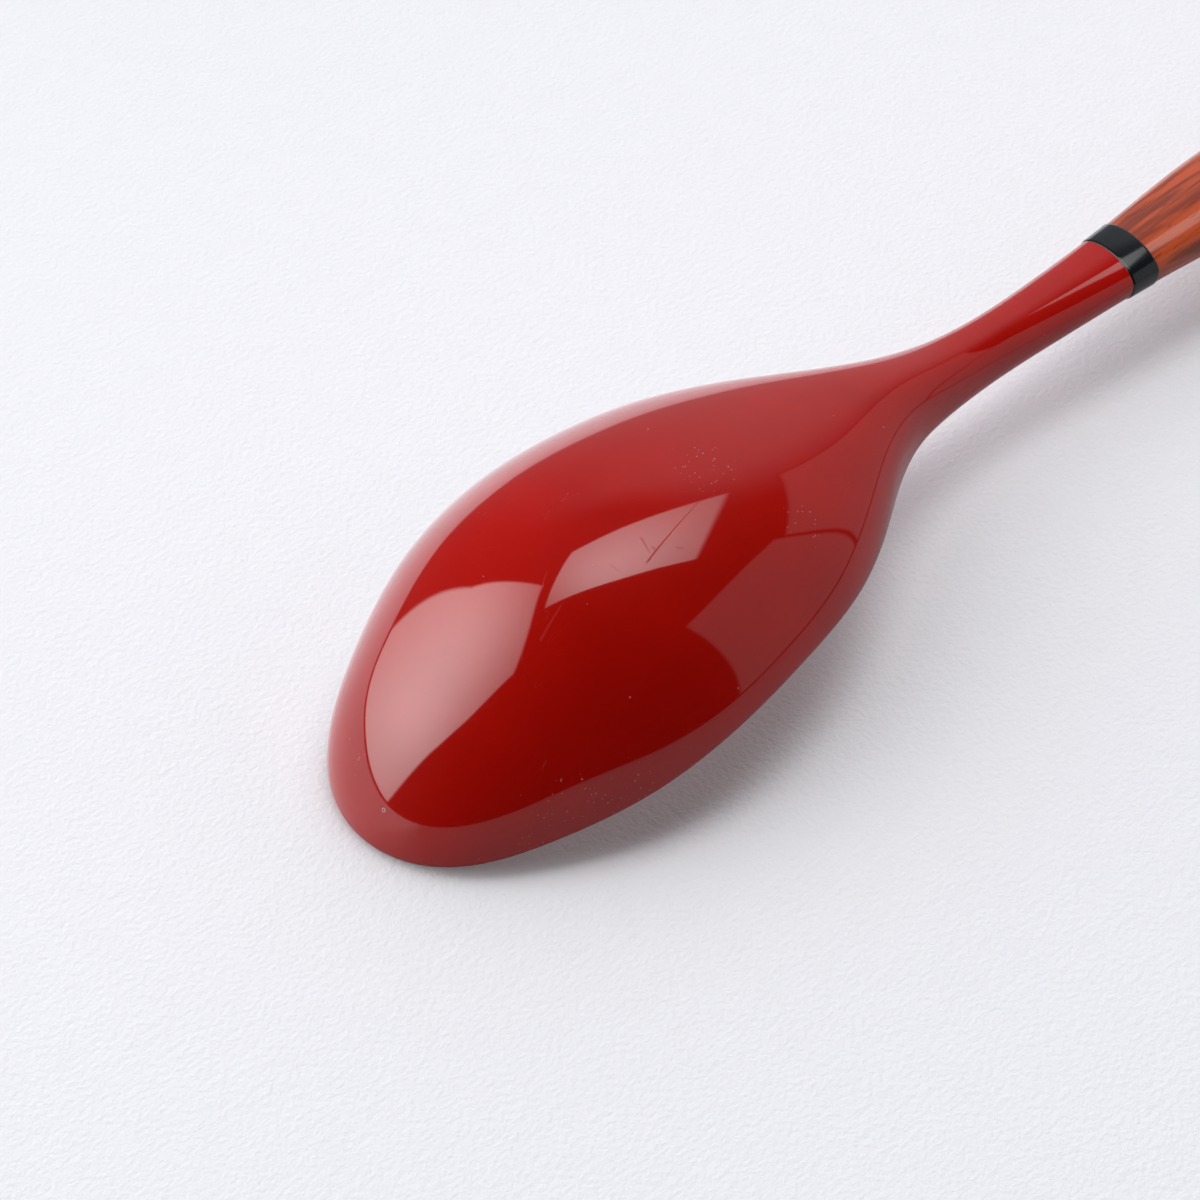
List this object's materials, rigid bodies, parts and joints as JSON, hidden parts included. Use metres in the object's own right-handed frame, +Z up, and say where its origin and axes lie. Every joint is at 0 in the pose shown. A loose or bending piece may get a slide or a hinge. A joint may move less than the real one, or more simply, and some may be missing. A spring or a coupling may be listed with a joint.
{
  "type": "lacquered wooden spoon",
  "caption": "Table spoon lying face down: deep leaf-shaped red lacquered bowl, slim neck, black collar and a gently curved wooden handle.",
  "frame": {"origin": "middle of the spoon's bounding box, on the table that it lies on, face down", "axes": "+X along the spoon from the bowl's tip to the handle's end, +Y across it, +Z up, away from the table and out of the bowl's convex back"},
  "size_m": [0.19, 0.0402, 0.0247],
  "materials": {
    "red_lacquer": "red gloss lacquer over wood",
    "black_lacquer": "black gloss lacquer over wood",
    "finished_wood": "reddish brown hardwood under clear gloss lacquer",
    "pin_wood": "bare wood"
  },
  "bodies": {
    "root": {"bowl": "red_lacquer", "black_band": "black_lacquer", "handle": "finished_wood", "dowel": "pin_wood"}
  },
  "joints": []
}
